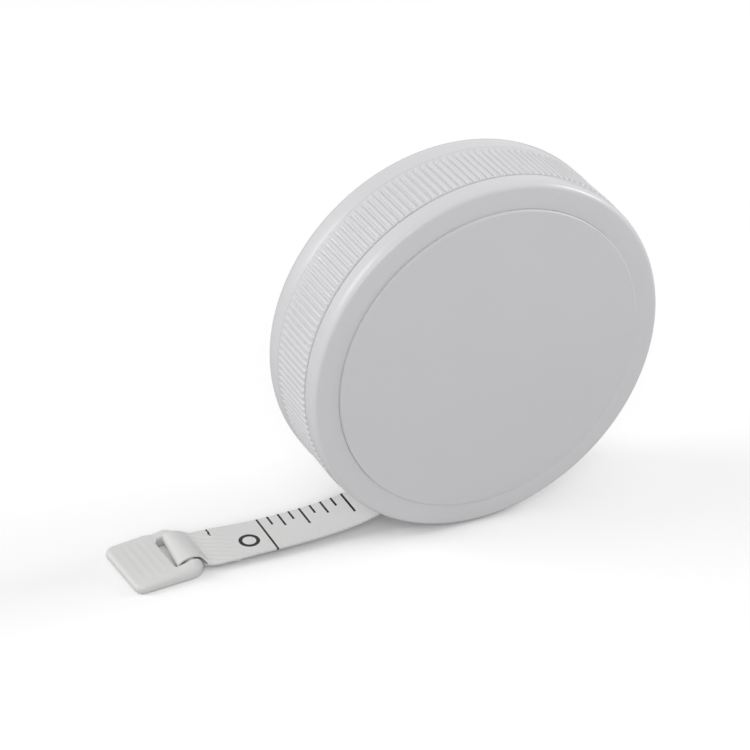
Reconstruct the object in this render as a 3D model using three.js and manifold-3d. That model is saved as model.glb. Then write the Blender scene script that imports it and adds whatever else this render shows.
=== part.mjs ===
// Retractable sewing tape measure, standing on its rim with a little tape pulled out.
// A three-piece round case holds a reel with a flat spiral spring. A full-face push button
// lifts a keyed brake plate off the reel. The tape ends in a strap that carries a pull tab.
//
// Lengths are in millimetres. The pieces are drawn as seen from the button side: X along the
// pulled tape, which leaves towards -X, Y up, and Z along the reel's axis from the flat back
// to the button. The group at the end turns Z to the front, so the back's centre is the origin.

import * as THREE from 'three';
import { mergeVertices } from 'three/addons/utils/BufferGeometryUtils.js';
import Module from 'manifold-3d';

const wasm = await Module();
wasm.setup();

// Case
const caseRadius = 26;
const landWidth = 3.5; // smooth edge of each cover
const bandWidth = 7; // ribbed ring between the covers
const bezelWidth = 4.2; // from the round face to the rim
const faceProud = 0.4; // how far the round faces stand out of the covers
const faceRound = 0.35;
const rimRoundReach = 2.2; // rounding of the rim, measured along the face
const rimRoundDepth = 1.4; // and along the axis
const sideWall = 1.3;
const frontWall = 1.2;
const seam = 0.25; // between a cover and the band
const snugGap = 0.3; // between pieces that are pressed or clipped together
const bondGap = 0.05; // between glued pieces

// Grip band
const bandRecess = 0.25; // rib crests below the covers' lands
const ribHeight = 0.35;
const ribCount = 164;
const ribShares = { floorEnd: 0.2, crestStart: 0.36, crestEnd: 0.84 }; // of one rib's pitch
const lipWall = 1.2; // spigots that plug into the covers
const lipHeight = 1.5;

// Mouth of the tape
const mouthAngle = 243.5; // degrees, counterclockwise from +X
const mouthSmoothHalfAngle = 20; // degrees without ribs on each side of the mouth
const mouthHeight = 1.6;
const mouthFlare = 0.7; // extra half height at the outside
const mouthSideGap = 0.5;

// Tape
const tapeWidth = 7;
const tapeThickness = 0.35;
const tapeLift = 1.2; // top of the tape over the table at the zero line
const tapeZeroReach = 28.27; // zero line from the reel's axis
const tapeZeroMargin = 0.5; // tape past the zero line before the stretch that bends
const tapeWeldStart = 5.2; // doubled end from the zero line
const tapeWeldEnd = 9.5;
const tapeEndYaw = -1.7; // degrees the lying end is turned about the zero line
const windGap = 0.3; // between the wound layers and the tape that leaves them
const tapeSag = 5.4; // length of the curve's handles

// Reel
const channelGap = 0.6; // between the tape's edge and a flange
const flangeThickness = 0.9;
const flangeMargin = 0.6; // flange past the wound tape
const drumShare = 0.7475; // of the wound tape's radius, which leaves room for 1.55 m of tape
const drumWall = 1.2;
const webThickness = 0.8;
const webSetback = 3.7; // web from the reel's rear face
const hubWall = 1.4;
const hubLength = 0.4; // hub in front of the web
const endGap = 0.4; // reel to the back
const capThickness = 0.8;
const capClear = 2.63; // between the cap and the button's boss
const lidThickness = 0.4;

// Post
const postRadius = 3.4;
const postBoreRadius = 1.7;
const postBoreFloor = 0.8; // floor of the bore over the inside of the back
const keyRadius = 3.1;
const keyFlat = 2.75; // half width across the flats
const runGap = 0.12; // radial clearance of what turns or slides on the post
const clipThickness = 0.4;
const clipGroove = 0.5;
const clipGrooveRadius = 2.7;
const clipWidth = 1.9;
const clipMouth = 3.6;

// Mainspring
const springThickness = 0.25;
const springTurns = 7;
const springPitch = 0.7;
const springHook = 0.5;
const slitWidth = 0.9;

// Button and brake
const buttonTravel = 1;
const buttonGap = 0.25; // round the button
const buttonClear = 0.3; // left over the reel with the button down
const skirtWall = 0.9;
const skirtClear = 0.5; // between the skirt and the reel's flange
const buttonFlange = 0.85;
const bossWall = 1;
const pinRadius = 0.65;
const pinLength = 1.5;
const brakeGap = 0.3;
const brakeRingThickness = 0.6;
const brakeRingWidth = 3;
const brakePlateThickness = 0.7;
const plateHubWall = 1.15;
const plateHubRear = 0.5; // hub behind the plate
const plateHubFront = 1.3; // hub in front of the plate
const coilWire = 0.2; // radius of the button spring's wire
const coilRadius = 1.2;
const coilTurns = 8;

// Pull tab. It turns on a round bar, which the folded strap holds.
const tabReach = 8.8; // outer end from the bar
const tabWidth = 10.4;
const tabTipThickness = 1.25;
const tabThickness = 1.6; // at the slot
const tabEdge = 0.4;
const tabOuterCorner = 1.3;
const tabInnerCorner = 2.4;
const tabYaw = 4.7; // degrees the tab lies askew
const tabShift = 1; // and how far it sits to the back of the tape's middle
const knuckleReach = 1.75; // rounded inner end from the bar
const knuckleHeight = 2.1;
const barReach = 12.23; // bar from the zero line
const barRadius = 0.72;
const slotReach = 2; // slot's outer wall from the bar
const slotCorner = 0.35;
const strapWidth = 6.3;
const strapGap = 0.08; // round the bar
const strapClear = 0.05; // under the strap
const strapSideGap = 0.25;
const strapEndGap = 0.7; // between the strap's tails and the doubled end
const ridgeCount = 4;
const ridgePitch = 1.15;
const ridgeWidth = 0.6;
const ridgeHeight = 0.1;
const ridgeInset = 1.7; // first ridge from the outer end
const ridgeSideInset = 1.3;

// Fineness of the round pieces, and the overrun of every cut
const caseSteps = 60;
const reelSteps = 48;
const postSteps = 24;
const arcSteps = 4;
const overrun = 0.5;

// Places along the axis
const rearRimZ = faceProud;
const rearEdgeZ = rearRimZ + landWidth;
const frontEdgeZ = rearEdgeZ + bandWidth;
const frontRimZ = frontEdgeZ + landWidth;
const frontFaceZ = frontRimZ + faceProud;
const middleZ = (rearEdgeZ + frontEdgeZ) / 2;
const rearFlangeZ = middleZ - tapeWidth / 2 - channelGap;
const frontFlangeZ = middleZ + tapeWidth / 2 + channelGap;
const drumRearZ = rearFlangeZ - flangeThickness;
const drumFrontZ = frontFlangeZ + flangeThickness;
const insideRearZ = drumRearZ - endGap;
const webRearZ = drumRearZ + webSetback;
const webFrontZ = webRearZ + webThickness;
const hubFrontZ = webFrontZ + hubLength;
const shoulderZ = hubFrontZ + snugGap;
const plateUnderZ = drumFrontZ + buttonClear + buttonTravel;
const keyTopZ = plateUnderZ - buttonTravel - snugGap;
const bezelUnderZ = frontRimZ - frontWall;
const flangeTopZ = bezelUnderZ - snugGap;
const capRearZ = drumFrontZ - capThickness;
const brakeRingFrontZ = capRearZ - brakeGap;
const brakePlateFrontZ = brakeRingFrontZ - brakeRingThickness;
const brakePlateRearZ = brakePlateFrontZ - brakePlateThickness;

// Radii from the rim inwards
const faceRadius = caseRadius - bezelWidth;
const coverBore = caseRadius - sideWall;
const crestRadius = caseRadius - bandRecess;
const grooveRadius = crestRadius - ribHeight;
const lipOuter = coverBore - snugGap;
const lipInner = lipOuter - lipWall;
const buttonFlangeRadius = lipInner - runGap - snugGap;
const skirtInner = faceRadius - skirtWall;
const flangeRadius = skirtInner - skirtClear;
const woundRadius = flangeRadius - flangeMargin;
const drumRadius = drumShare * woundRadius;
const drumBore = drumRadius - drumWall;
const hubBore = postRadius + runGap;
const plateHubRadius = keyRadius + runGap + plateHubWall;
const bossBore = plateHubRadius + snugGap;
const bossRadius = bossBore + bossWall;
const brakeRingOuter = drumBore - snugGap - brakeGap;

const colours = {
  case: 0xf1f1f2,
  button: 0xf3f3f4,
  tape: 0xf0f0ee,
  reel: 0xe4e4e0,
  steel: 0xb4b7ba,
  rubber: 0x2c2c2e,
};

const group = new THREE.Group();
group.rotation.x = Math.PI / 2;

// Solids

function toSolid(geometry) {
  const bare = geometry.clone();
  bare.deleteAttribute('normal');
  bare.deleteAttribute('uv');
  const welded = mergeVertices(bare);
  const place = welded.getAttribute('position');
  const corners = [];
  let volume = 0;
  for (let i = 0; i < welded.index.count; i += 3) {
    const [a, b, c] = [0, 1, 2].map((k) => welded.index.getX(i + k));
    if (a === b || b === c || c === a) continue;
    const [p, q, r] = [a, b, c].map((k) => new THREE.Vector3().fromBufferAttribute(place, k));
    volume += p.dot(q.cross(r));
    corners.push(a, b, c);
  }
  if (volume < 0) corners.reverse();
  const mesh = new wasm.Mesh({
    numProp: 3,
    vertProperties: new Float32Array(place.array),
    triVerts: new Uint32Array(corners),
  });
  return new wasm.Manifold(mesh);
}

function addPiece(name, solid, colour, roughness = 0.45, metalness = 0) {
  const { vertProperties, triVerts } = solid.getMesh();
  const geometry = new THREE.BufferGeometry();
  geometry.setAttribute('position', new THREE.BufferAttribute(vertProperties, 3));
  geometry.setIndex(new THREE.BufferAttribute(triVerts, 1));
  geometry.computeVertexNormals();
  const material = new THREE.MeshStandardMaterial({ color: colour, roughness, metalness });
  const piece = new THREE.Mesh(geometry, material);
  piece.name = name;
  group.add(piece);
}

// A turned piece: profile points are [radius, z], closed or from axis to axis. The flats of
// the facets lie on the true radius, and one of them is at the bottom.
function turned(profile, steps) {
  const grow = 1 / Math.cos(Math.PI / steps);
  const points = profile.map(([r, z]) => new THREE.Vector2(r * grow, z));
  const geometry = new THREE.LatheGeometry(points, steps, Math.PI / steps);
  return toSolid(geometry.rotateX(Math.PI / 2));
}

function ring(inner, outer, from, to, steps) {
  return turned([[inner, from], [outer, from], [outer, to], [inner, to], [inner, from]], steps);
}

function rod(radius, from, to, steps) {
  return turned([[0, from], [radius, from], [radius, to], [0, to]], steps);
}

function block(width, height, depth, x, y, z) {
  return toSolid(new THREE.BoxGeometry(width, height, depth).translate(x, y, z));
}

// A flat outline in X and Y with an even depth along Z.
function slab(points, from, to, holes = []) {
  const shape = new THREE.Shape(points);
  shape.holes = holes.map((hole) => new THREE.Path(hole));
  const geometry = new THREE.ExtrudeGeometry(shape, { depth: to - from, bevelEnabled: false });
  return toSolid(geometry.translate(0, 0, from));
}

// A strip that stands on edge along a line of points.
function ribbon(line, thickness, from, to) {
  const left = [];
  const right = [];
  line.forEach((point, i) => {
    const before = line[Math.max(i - 1, 0)];
    const after = line[Math.min(i + 1, line.length - 1)];
    const back = point.clone().sub(before).normalize();
    const ahead = after.clone().sub(point).normalize();
    const along = back.clone().add(ahead).normalize();
    const bend = Math.max(along.dot(i ? back : ahead), 0.5);
    const side = new THREE.Vector2(-along.y, along.x).multiplyScalar(thickness / 2 / bend);
    left.push(point.clone().add(side));
    right.push(point.clone().sub(side));
  });
  return slab([...left, ...right.reverse()], from, to);
}

function polar(radius, angle) {
  return new THREE.Vector2(radius * Math.cos(angle), radius * Math.sin(angle));
}

// Quarter of an ellipse in a profile, from one angle to the other.
function arc(r, z, reach, depth, start, end) {
  return Array.from({ length: arcSteps + 1 }, (_, i) => {
    const angle = THREE.MathUtils.degToRad(start + ((end - start) * i) / arcSteps);
    return [r + reach * Math.cos(angle), z + depth * Math.sin(angle)];
  });
}

// Path of the tape: off the wound layers on a tangent, out through the mouth, then down to
// the table's level at the zero line.

const tapeTrackRadius = woundRadius - tapeThickness + windGap + tapeThickness / 2;
const mouthTurn = THREE.MathUtils.degToRad(mouthAngle);
const leaveTurn = mouthTurn + Math.acos(tapeTrackRadius / grooveRadius);
const leavePoint = polar(tapeTrackRadius, leaveTurn);
const mouthPoint = polar(grooveRadius, mouthTurn);
const mouthLine = mouthPoint.clone().sub(leavePoint).normalize();
const tableY = -caseRadius;
const tapeTopY = tableY + tapeLift;
const tapeY = tapeTopY - tapeThickness / 2;
const bendEndX = -tapeZeroReach + tapeZeroMargin;

function mouthCutter() {
  const across = new THREE.Vector2(-mouthLine.y, mouthLine.x);
  const inside = mouthPoint.clone().addScaledVector(mouthLine, -2 * (sideWall + lipWall));
  const outside = mouthPoint.clone().addScaledVector(mouthLine, 2 * sideWall + bandRecess);
  const half = mouthHeight / 2;
  const flared = half + mouthFlare;
  const corner = (place, offset) => place.clone().addScaledVector(across, offset);
  const outline = [
    corner(inside, half), corner(inside, -half), corner(mouthPoint, -half),
    corner(outside, -flared), corner(outside, flared), corner(mouthPoint, half),
  ];
  const reach = tapeWidth / 2 + mouthSideGap;
  return slab(outline, middleZ - reach, middleZ + reach);
}

// Case

function keyBar(radius, flat, from, to) {
  const width = 2 * radius + overrun;
  const depth = to - from + overrun;
  return rod(radius, from, to, postSteps)
    .intersect(block(width, 2 * flat, depth, 0, 0, (from + to) / 2));
}

function springSlit(inner, outer) {
  const from = drumRearZ + lidThickness;
  return block(
    outer - inner, slitWidth, webRearZ - from,
    (inner + outer) / 2, 0, (from + webRearZ) / 2,
  );
}

function rearCover() {
  const rimIn = caseRadius - rimRoundReach;
  const shell = turned([
    [0, 0],
    ...arc(faceRadius - faceRound, faceRound, faceRound, faceRound, -90, 0),
    [faceRadius, rearRimZ],
    ...arc(rimIn, rearRimZ + rimRoundDepth, rimRoundReach, rimRoundDepth, -90, 0),
    [caseRadius, rearEdgeZ - seam / 2],
    [coverBore, rearEdgeZ - seam / 2],
    [coverBore, insideRearZ],
    [0, insideRearZ],
  ], caseSteps);
  const root = insideRearZ - overrun;
  const grooveFront = shoulderZ + clipGroove;
  const post = rod(postRadius, root, shoulderZ, postSteps)
    .add(rod(clipGrooveRadius, root, grooveFront + overrun, postSteps))
    .add(keyBar(keyRadius, keyFlat, grooveFront, keyTopZ))
    .subtract(rod(postBoreRadius, insideRearZ + postBoreFloor, keyTopZ + overrun, postSteps))
    .subtract(springSlit(0, postRadius + overrun));
  return shell.add(post).subtract(mouthCutter());
}

function frontCover() {
  const bore = faceRadius + buttonGap;
  const rimIn = caseRadius - rimRoundReach;
  return turned([
    [bore, bezelUnderZ],
    [bore, frontRimZ - faceRound / 2],
    [bore + faceRound / 2, frontRimZ],
    ...arc(rimIn, frontRimZ - rimRoundDepth, rimRoundReach, rimRoundDepth, 90, 0),
    [caseRadius, frontEdgeZ + seam / 2],
    [coverBore, frontEdgeZ + seam / 2],
    [coverBore, bezelUnderZ],
    [bore, bezelUnderZ],
  ], caseSteps).subtract(mouthCutter());
}

function gripBand() {
  const pitch = (2 * Math.PI) / ribCount;
  const smooth = THREE.MathUtils.degToRad(mouthSmoothHalfAngle);
  const outline = [];
  for (let i = 0; i < ribCount; i += 1) {
    const turn = i * pitch;
    if (Math.abs(turn - mouthTurn) < smooth) {
      outline.push(polar(crestRadius, turn));
    } else {
      outline.push(
        polar(grooveRadius, turn),
        polar(grooveRadius, turn + ribShares.floorEnd * pitch),
        polar(crestRadius, turn + ribShares.crestStart * pitch),
        polar(crestRadius, turn + ribShares.crestEnd * pitch),
      );
    }
  }
  const middle = (lipInner + lipOuter) / 2;
  const hole = Array.from({ length: caseSteps }, (_, i) => (
    polar(middle, (2 * Math.PI * i) / caseSteps)
  ));
  return slab(outline, rearEdgeZ + seam / 2, frontEdgeZ - seam / 2, [hole])
    .add(ring(lipInner, lipOuter, rearEdgeZ - lipHeight, frontEdgeZ + lipHeight, caseSteps))
    .subtract(mouthCutter());
}

function postClip() {
  const inner = clipGrooveRadius + runGap;
  const rear = shoulderZ + (clipGroove - clipThickness) / 2;
  const front = rear + clipThickness;
  const opening = block(
    inner + clipWidth + overrun, clipMouth, clipThickness + 2 * overrun,
    (inner + clipWidth + overrun) / 2, 0, (rear + front) / 2,
  );
  return ring(inner, inner + clipWidth, rear, front, postSteps).subtract(opening);
}

// Button and brake

function pushButton() {
  const bossBottomZ = brakePlateFrontZ + snugGap;
  return turned([
    [0, frontFaceZ],
    ...arc(faceRadius - faceRound, frontFaceZ - faceRound, faceRound, faceRound, 90, 0),
    [faceRadius, flangeTopZ],
    [buttonFlangeRadius, flangeTopZ],
    [buttonFlangeRadius, flangeTopZ - buttonFlange],
    [skirtInner, flangeTopZ - buttonFlange],
    [skirtInner, plateUnderZ],
    [bossRadius, plateUnderZ],
    [bossRadius, bossBottomZ],
    [bossBore, bossBottomZ],
    [bossBore, plateUnderZ],
    [pinRadius, plateUnderZ],
    [pinRadius, plateUnderZ - pinLength],
    [0, plateUnderZ - pinLength],
  ], caseSteps);
}

function brakePlate() {
  const hubRear = brakePlateRearZ - plateHubRear;
  const hubFront = brakePlateFrontZ + plateHubFront;
  const key = keyBar(keyRadius + runGap, keyFlat + runGap, hubRear - overrun, hubFront + overrun);
  return rod(brakeRingOuter, brakePlateRearZ, brakePlateFrontZ, reelSteps)
    .add(rod(plateHubRadius, hubRear, hubFront, postSteps))
    .subtract(key);
}

function brakeRing() {
  const inner = brakeRingOuter - brakeRingWidth;
  return ring(inner, brakeRingOuter, brakePlateFrontZ + bondGap, brakeRingFrontZ, reelSteps);
}

class Helix extends THREE.Curve {
  constructor(radius, turns, from, to) {
    super();
    Object.assign(this, { radius, turns, from, to });
  }

  getPoint(t, target = new THREE.Vector3()) {
    const place = polar(this.radius, 2 * Math.PI * this.turns * t);
    return target.set(place.x, place.y, this.from + (this.to - this.from) * t);
  }
}

function buttonSpring() {
  const from = insideRearZ + postBoreFloor + snugGap + coilWire;
  const to = plateUnderZ - snugGap - coilWire;
  const section = Array.from({ length: 5 }, (_, i) => polar(coilWire, (2 * Math.PI * i) / 5));
  return toSolid(new THREE.ExtrudeGeometry(new THREE.Shape(section), {
    steps: coilTurns * 8,
    extrudePath: new Helix(coilRadius, coilTurns, from, to),
  }));
}

// Reel

function drum() {
  const slot = springSlit(drumBore - overrun, drumBore + springHook + snugGap);
  return turned([
    [hubBore, webRearZ],
    [drumBore, webRearZ],
    [drumBore, drumRearZ],
    [flangeRadius, drumRearZ],
    [flangeRadius, rearFlangeZ],
    [drumRadius, rearFlangeZ],
    [drumRadius, frontFlangeZ],
    [flangeRadius, frontFlangeZ],
    [flangeRadius, drumFrontZ],
    [drumBore, drumFrontZ],
    [drumBore, webFrontZ],
    [hubBore + hubWall, webFrontZ],
    [hubBore + hubWall, hubFrontZ],
    [hubBore, hubFrontZ],
    [hubBore, webRearZ],
  ], reelSteps).subtract(slot);
}

function drumCap() {
  return ring(bossRadius + capClear, drumBore - snugGap, capRearZ, drumFrontZ, reelSteps);
}

function springLid() {
  return ring(hubBore, drumBore - snugGap, drumRearZ, drumRearZ + lidThickness, reelSteps);
}

// The spring packs against the drum's wall and sweeps in to the post. Its turns are wound so
// that pulling the tape tightens them.
function mainspring() {
  const outer = drumBore - snugGap - springThickness / 2;
  const inner = postRadius + snugGap + springThickness / 2;
  const sweep = outer - inner - springPitch * springTurns;
  const steps = springTurns * 24;
  const line = [polar(postRadius - springHook, 0)];
  for (let i = 0; i <= steps; i += 1) {
    const left = 1 - i / steps;
    const radius = outer - springPitch * springTurns * left - sweep * left ** 6;
    line.push(polar(radius, -2 * Math.PI * springTurns * (1 - left)));
  }
  line.push(polar(drumBore + springHook, 0));
  const from = drumRearZ + lidThickness + snugGap;
  return ribbon(line, springThickness, from, webRearZ - snugGap);
}

// Wound tape: a core of layers, of which the outer one shows its end where the tape leaves.
function tapeCoil() {
  const outline = Array.from({ length: caseSteps + 1 }, (_, i) => {
    const share = i / caseSteps;
    return polar(woundRadius - tapeThickness * share, leaveTurn + 2 * Math.PI * share);
  });
  const hole = Array.from({ length: reelSteps }, (_, i) => (
    polar(drumRadius + snugGap, (2 * Math.PI * (i + 0.5)) / reelSteps)
  ));
  return slab(outline, middleZ - tapeWidth / 2, middleZ + tapeWidth / 2, [hole]);
}

// Tape outside the reel

function tapeStrip() {
  const start = leavePoint.clone().addScaledVector(mouthLine, windGap);
  const outer = mouthPoint.clone().addScaledVector(mouthLine, sideWall);
  const end = new THREE.Vector2(bendEndX + windGap / 2, tapeY);
  const curve = new THREE.CubicBezierCurve(
    outer, outer.clone().addScaledVector(mouthLine, tapeSag),
    end.clone().add(new THREE.Vector2(tapeSag, 0)), end,
  );
  const line = [start, ...curve.getPoints(3 * arcSteps)];
  return ribbon(line, tapeThickness, middleZ - tapeWidth / 2, middleZ + tapeWidth / 2);
}

const doubleStartX = -tapeZeroReach - tapeWeldStart;
const doubleEndX = -tapeZeroReach - tapeWeldEnd;

function tapeEnd() {
  const startX = bendEndX - windGap / 2;
  const end = slab([
    new THREE.Vector2(startX, tapeTopY),
    new THREE.Vector2(startX, tapeTopY - tapeThickness),
    new THREE.Vector2(doubleStartX, tapeTopY - tapeThickness),
    new THREE.Vector2(doubleStartX - tapeThickness, tapeTopY - 2 * tapeThickness),
    new THREE.Vector2(doubleEndX, tapeTopY - 2 * tapeThickness),
    new THREE.Vector2(doubleEndX, tapeTopY),
  ], middleZ - tapeWidth / 2, middleZ + tapeWidth / 2);
  return swung(end, -tapeZeroReach, 0, tapeEndYaw);
}

// Strap and tab. Both are drawn square to the tape and then set askew about the bar.

const barX = -tapeZeroReach - barReach;
const loopRadius = barRadius + strapGap + tapeThickness / 2;
const barY = tableY + strapClear + tapeThickness / 2 + loopRadius;

function swung(solid, x, shift, degrees) {
  return solid.translate([-x, 0, -middleZ]).rotate([0, degrees, 0])
    .translate([x, 0, middleZ - shift]);
}

// Strap: a loop round the bar with two tails that run tangent to it from the doubled end.
function endLoop() {
  const tail = (y, side) => {
    const end = new THREE.Vector2(doubleEndX - strapEndGap, y);
    const reach = end.clone().sub(new THREE.Vector2(barX, barY));
    const turn = reach.angle() - side * Math.asin(loopRadius / reach.length());
    return { end, turn: turn + (side * Math.PI) / 2 };
  };
  const upper = tail(tapeTopY - tapeThickness / 2, 1);
  const lower = tail(tapeTopY - 1.5 * tapeThickness - strapClear, -1);
  const from = upper.turn - 2 * Math.PI * Math.floor(upper.turn / (2 * Math.PI));
  const to = lower.turn - 2 * Math.PI * Math.floor(lower.turn / (2 * Math.PI));
  const steps = 4 * arcSteps;
  const round = Array.from({ length: steps + 1 }, (_, i) => (
    polar(loopRadius, from + ((to - from) * i) / steps).add(new THREE.Vector2(barX, barY))
  ));
  const line = [upper.end, ...round, lower.end];
  const loop = ribbon(
    line, tapeThickness, middleZ - strapWidth / 2, middleZ + strapWidth / 2,
  );
  return swung(loop, barX, tabShift, tabYaw);
}

function roundedRectangle(x, y, width, height, leftCorner, rightCorner) {
  const path = new THREE.Path();
  const [right, top] = [x + width, y + height];
  path.moveTo(x + leftCorner, y);
  path.lineTo(right - rightCorner, y);
  path.absarc(right - rightCorner, y + rightCorner, rightCorner, -Math.PI / 2, 0);
  path.absarc(right - rightCorner, top - rightCorner, rightCorner, 0, Math.PI / 2);
  path.absarc(x + leftCorner, top - leftCorner, leftCorner, Math.PI / 2, Math.PI);
  path.absarc(x + leftCorner, y + leftCorner, leftCorner, Math.PI, 1.5 * Math.PI);
  return new THREE.Shape(path.getPoints(arcSteps));
}

// Seen from the side, the tab is a low wedge that rises to a rounded knuckle on each side of
// the slot. Its plan is cut out of that, and the bar joins the knuckles.
function endTab() {
  const leftX = barX - tabReach;
  const low = middleZ - tabWidth / 2;
  const high = middleZ + tabWidth / 2;
  const knuckle = Array.from({ length: 2 * arcSteps + 1 }, (_, i) => {
    const turn = -Math.PI / 2 + (Math.PI * i) / (2 * arcSteps);
    return new THREE.Vector2(
      barX + knuckleReach * Math.cos(turn),
      tableY + (knuckleHeight / 2) * (1 + Math.sin(turn)),
    );
  });
  const side = slab([
    new THREE.Vector2(leftX + tabEdge, tableY),
    ...knuckle,
    new THREE.Vector2(barX - slotReach - tabEdge, tableY + tabThickness),
    new THREE.Vector2(leftX + tabEdge, tableY + tabTipThickness),
    new THREE.Vector2(leftX, tableY + tabTipThickness - tabEdge),
    new THREE.Vector2(leftX, tableY + tabEdge),
  ], low, high);
  const upright = (shape) => new THREE.ExtrudeGeometry(shape, {
    depth: knuckleHeight - 2 * tabEdge,
    bevelThickness: tabEdge,
    bevelSize: tabEdge,
    bevelOffset: -tabEdge,
    bevelSegments: 2,
  }).translate(0, 0, tabEdge).rotateX(-Math.PI / 2).translate(barX, tableY, middleZ);
  const plan = toSolid(upright(roundedRectangle(
    -tabReach, -tabWidth / 2, tabReach + knuckleReach, tabWidth, tabOuterCorner, tabInnerCorner,
  )));
  const slotHalf = strapWidth / 2 + strapSideGap;
  const slot = toSolid(new THREE.ExtrudeGeometry(roundedRectangle(
    -slotReach, -slotHalf, slotReach + 2 * knuckleReach, 2 * slotHalf, slotCorner, slotCorner,
  ), { depth: 2 * knuckleHeight, bevelEnabled: false })
    .rotateX(-Math.PI / 2).translate(barX, tableY - knuckleHeight / 2, middleZ));
  const bar = rod(barRadius, -slotHalf - overrun, slotHalf + overrun, postSteps)
    .translate([barX, barY, middleZ]);
  let tab = side.intersect(plan).subtract(slot).add(bar);
  const rise = (tabThickness - tabTipThickness) / (tabReach - slotReach - 2 * tabEdge);
  for (let i = 0; i < ridgeCount; i += 1) {
    const inset = ridgeInset + i * ridgePitch;
    const x = leftX + inset;
    const y = tableY + tabTipThickness + rise * (inset - tabEdge);
    const half = ridgeWidth / 2;
    tab = tab.add(slab([
      new THREE.Vector2(x - half, y - tabEdge),
      new THREE.Vector2(x + half, y - tabEdge),
      new THREE.Vector2(x + half, y),
      new THREE.Vector2(x, y + ridgeHeight),
      new THREE.Vector2(x - half, y),
    ], low + ridgeSideInset, high - ridgeSideInset));
  }
  return swung(tab, barX, tabShift, tabYaw);
}

addPiece('rear_cover', rearCover(), colours.case);
addPiece('grip_band', gripBand(), colours.case);
addPiece('front_cover', frontCover(), colours.case);
addPiece('post_clip', postClip(), colours.steel, 0.3, 0.9);
addPiece('push_button', pushButton(), colours.button);
addPiece('button_spring', buttonSpring(), colours.steel, 0.3, 0.9);
addPiece('brake_plate', brakePlate(), colours.reel);
addPiece('brake_ring', brakeRing(), colours.rubber, 0.9);
addPiece('drum', drum(), colours.reel);
addPiece('drum_cap', drumCap(), colours.reel);
addPiece('spring_lid', springLid(), colours.reel);
addPiece('mainspring', mainspring(), colours.steel, 0.3, 0.9);
addPiece('tape_coil', tapeCoil(), colours.tape, 0.6);
addPiece('tape_strip', tapeStrip(), colours.tape, 0.6);
addPiece('tape_end', tapeEnd(), colours.tape, 0.6);
addPiece('end_loop', endLoop(), colours.tape, 0.5);
addPiece('end_tab', endTab(), colours.case);

export default group;
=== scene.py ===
# Retractable sewing tape measure in white plastic, on its rim with a little tape pulled out.
# Metres, +Z up. The button faces -Y and the tape leaves towards -X. Lengths are written in
# millimetres, as seen from the button: across, up, and depth from the flat back to the button.
import bpy, bmesh, math
from mathutils import Matrix, Vector


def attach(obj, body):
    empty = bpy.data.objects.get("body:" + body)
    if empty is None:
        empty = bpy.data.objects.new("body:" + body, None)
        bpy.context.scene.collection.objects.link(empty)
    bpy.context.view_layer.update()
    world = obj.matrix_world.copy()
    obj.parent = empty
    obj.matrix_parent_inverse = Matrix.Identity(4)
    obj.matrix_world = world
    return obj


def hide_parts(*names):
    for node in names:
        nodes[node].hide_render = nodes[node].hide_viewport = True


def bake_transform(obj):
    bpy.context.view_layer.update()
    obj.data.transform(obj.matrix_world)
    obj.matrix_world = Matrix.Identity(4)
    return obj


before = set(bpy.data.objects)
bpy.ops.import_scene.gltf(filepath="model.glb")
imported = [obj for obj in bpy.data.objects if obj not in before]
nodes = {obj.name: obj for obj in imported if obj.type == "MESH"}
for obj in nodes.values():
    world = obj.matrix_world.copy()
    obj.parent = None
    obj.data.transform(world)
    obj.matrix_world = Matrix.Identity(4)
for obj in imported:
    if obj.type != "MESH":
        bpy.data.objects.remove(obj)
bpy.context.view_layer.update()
mm = 0.001
print("frame loaded:", len(nodes), "nodes")


# Small helpers

def place(across, up, depth):
    return Vector((across, -depth, up)) * mm


def linear(hexColour):
    values = [int(hexColour[i:i + 2], 16) / 255 for i in (1, 3, 5)]
    return [v / 12.92 if v <= 0.04045 else ((v + 0.055) / 1.055) ** 2.4 for v in values] + [1.0]


def addNode(tree, kind, inputs=None, **settings):
    node = tree.nodes.new(kind)
    for key, value in settings.items():
        setattr(node, key, value)
    for key, value in (inputs or {}).items():
        if isinstance(value, bpy.types.Node):
            value = value.outputs[0]
        if isinstance(value, bpy.types.NodeSocket):
            tree.links.new(value, node.inputs[key])
        else:
            node.inputs[key].default_value = value
    return node


def newMaterial(name, colour, **settings):
    material = bpy.data.materials.new(name)
    material.use_nodes = True
    shader = material.node_tree.nodes["Principled BSDF"]
    shader.inputs["Base Color"].default_value = linear(colour)
    for key, value in settings.items():
        shader.inputs[key.replace("_", " ")].default_value = value
    return material, material.node_tree, shader


def makeObject(name, mesh, material, sharpAngle=35):
    mesh.name = name
    mesh.materials.clear()
    mesh.materials.append(material)
    for face in mesh.polygons:
        face.material_index = 0
    mesh.shade_smooth()
    mesh.set_sharp_from_angle(angle=math.radians(sharpAngle))
    piece = bpy.data.objects.new(name, mesh)
    bpy.context.scene.collection.objects.link(piece)
    return piece


def meshFrom(points, faces, outward=True):
    mesh = bpy.data.meshes.new("mesh")
    mesh.from_pydata([tuple(p) for p in points], [], faces)
    if outward:
        work = bmesh.new()
        work.from_mesh(mesh)
        bmesh.ops.recalc_face_normals(work, faces=work.faces)
        work.to_mesh(mesh)
        work.free()
    return mesh


def applyModifiers(piece):
    bpy.context.view_layer.update()
    graph = bpy.context.evaluated_depsgraph_get()
    mesh = bpy.data.meshes.new_from_object(piece.evaluated_get(graph), depsgraph=graph)
    piece.modifiers.clear()
    piece.data = mesh


def arc(centre, reach, start, end, count=6):
    # part of an ellipse in a profile of (radius, depth)
    return [(centre[0] + reach[0] * math.cos(math.radians(start + (end - start) * i / count)),
             centre[1] + reach[1] * math.sin(math.radians(start + (end - start) * i / count)))
            for i in range(count + 1)]


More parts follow.
